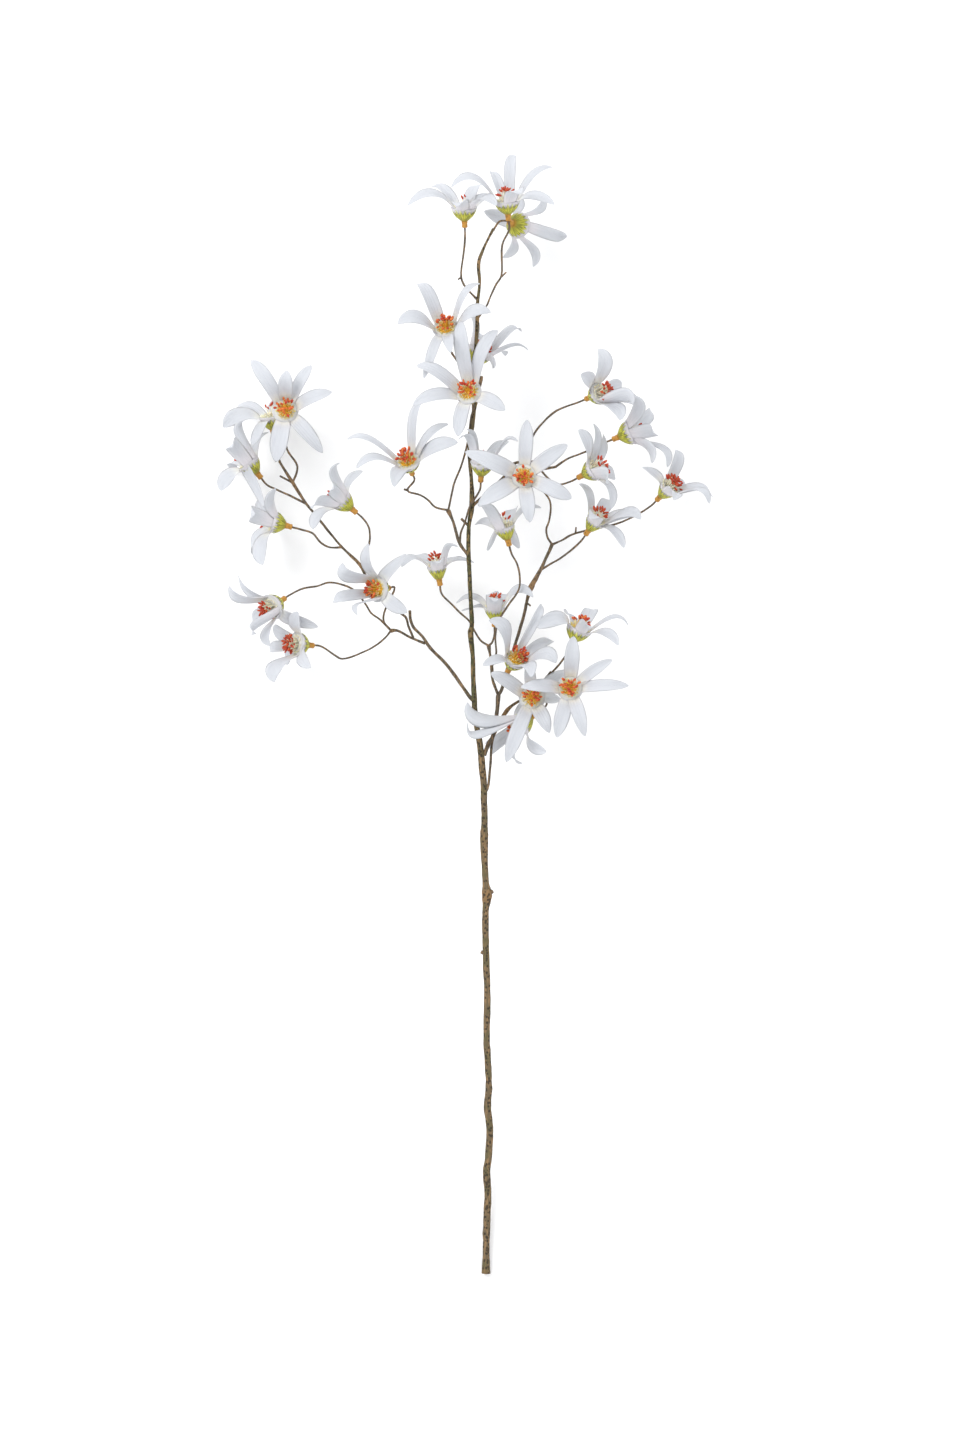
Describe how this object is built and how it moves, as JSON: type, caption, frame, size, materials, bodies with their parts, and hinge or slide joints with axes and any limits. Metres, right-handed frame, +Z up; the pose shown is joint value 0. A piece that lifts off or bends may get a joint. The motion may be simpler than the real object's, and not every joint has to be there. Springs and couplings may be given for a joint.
{
  "type": "clematis sprig",
  "caption": "Cut woody sprig lying down, with thin forked twigs, small green calyces and starry white blooms with golden, red-tipped stamens.",
  "frame": {"origin": "on the surface that the sprig lies on, in the middle of the ground that it covers", "axes": "+Y along the stem from its cut end to its flowering end, +Z up, +X to the right of the stem seen from above"},
  "size_m": [0.4204, 0.9542, 0.146],
  "materials": {
    "bark": "rough, olive brown with dark flecks, amber at the sockets and yellow-green at the calyces",
    "petal": "matte, cool white, faintly pink and green toward the throat",
    "stamen": "satin, golden with orange-red heads"
  },
  "bodies": {
    "root": {"woody_stem": "bark", "petals_01": "petal", "stamens_01": "stamen", "petals_02": "petal", "stamens_02": "stamen", "petals_03": "petal", "stamens_03": "stamen", "petals_04": "petal", "stamens_04": "stamen", "petals_05": "petal", "stamens_05": "stamen", "petals_06": "petal", "stamens_06": "stamen", "petals_07": "petal", "stamens_07": "stamen", "petals_08": "petal", "stamens_08": "stamen", "petals_09": "petal", "stamens_09": "stamen", "petals_10": "petal", "stamens_10": "stamen", "petals_11": "petal", "stamens_11": "stamen", "petals_12": "petal", "stamens_12": "stamen", "petals_13": "petal", "stamens_13": "stamen", "petals_14": "petal", "stamens_14": "stamen", "petals_15": "petal", "stamens_15": "stamen", "petals_16": "petal", "stamens_16": "stamen", "petals_17": "petal", "stamens_17": "stamen", "petals_18": "petal", "stamens_18": "stamen", "petals_19": "petal", "stamens_19": "stamen", "petals_20": "petal", "stamens_20": "stamen", "petals_21": "petal", "stamens_21": "stamen", "petals_22": "petal", "stamens_22": "stamen", "petals_23": "petal", "stamens_23": "stamen", "petals_24_25": "petal", "stamens_24": "stamen", "stamens_25": "stamen", "petals_26": "petal", "stamens_26": "stamen", "petals_27": "petal", "stamens_27": "stamen", "petals_28": "petal", "stamens_28": "stamen", "petals_29": "petal", "stamens_29": "stamen", "petals_30": "petal", "stamens_30": "stamen"}
  },
  "joints": []
}
